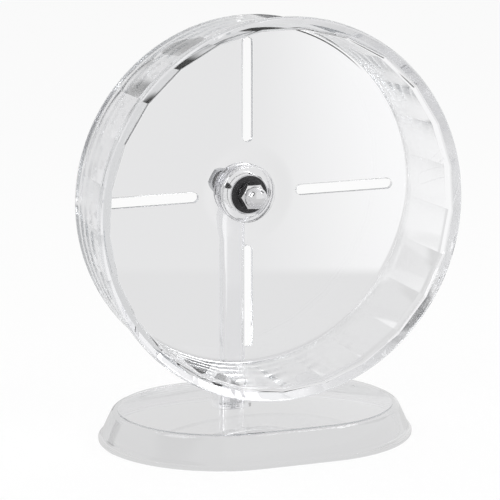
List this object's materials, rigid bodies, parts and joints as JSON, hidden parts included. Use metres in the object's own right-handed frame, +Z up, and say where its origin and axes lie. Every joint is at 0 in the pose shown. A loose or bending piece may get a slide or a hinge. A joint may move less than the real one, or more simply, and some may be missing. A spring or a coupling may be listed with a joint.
{
  "type": "hamster wheel",
  "caption": "Clear plastic running wheel with a slotted back disc and faceted inner wall, turning on ball bearings on a bolt carried by an upright post on a hollow oval base.",
  "frame": {"origin": "on the floor, in the middle of the base's footprint", "axes": "+Z up, +Y towards the back (the post's side), +X to the right seen from the wheel's open front"},
  "size_m": [0.21, 0.1354, 0.239],
  "materials": {
    "clear_plastic": "clear polished moulding",
    "zinc_steel": "bright zinc plated",
    "polished_steel": "polished",
    "bearing_steel": "ground",
    "seal_rubber": "satin black",
    "cage_nylon": "natural nylon"
  },
  "bodies": {
    "stand": {"base_shell": "clear_plastic", "post": "clear_plastic", "post_screw": "zinc_steel", "axle_bolt": "zinc_steel", "bolt_washer": "zinc_steel", "clamp_nut": "zinc_steel", "rear_washer": "zinc_steel", "inner_spacer": "zinc_steel", "front_washer": "zinc_steel", "cap_nut": "polished_steel", "front_inner_ring": "bearing_steel", "rear_inner_ring": "bearing_steel"},
    "wheel": {"running_track": "clear_plastic", "back_disc": "clear_plastic", "front_outer_ring": "bearing_steel", "front_seals": "seal_rubber", "rear_outer_ring": "bearing_steel", "rear_seals": "seal_rubber"},
    "front_ball_set": {"front_balls": "bearing_steel", "front_cage": "cage_nylon"},
    "rear_ball_set": {"rear_balls": "bearing_steel", "rear_cage": "cage_nylon"}
  },
  "joints": [
    {"name": "wheel_spin", "type": "hinge", "parent": "stand", "child": "wheel", "pos_m": [0, 0.0147, 0.134], "axis": [0, -1, 0], "continuous": true},
    {"name": "front_cage_spin", "type": "hinge", "parent": "stand", "child": "front_ball_set", "pos_m": [0, 0.0132, 0.134], "axis": [0, -1, 0], "continuous": true},
    {"name": "rear_cage_spin", "type": "hinge", "parent": "stand", "child": "rear_ball_set", "pos_m": [0, 0.0212, 0.134], "axis": [0, -1, 0], "continuous": true}
  ],
  "couplings": [
    {"joint": "front_cage_spin", "follows": "wheel_spin", "ratio": 0.6323},
    {"joint": "rear_cage_spin", "follows": "wheel_spin", "ratio": 0.6323}
  ]
}
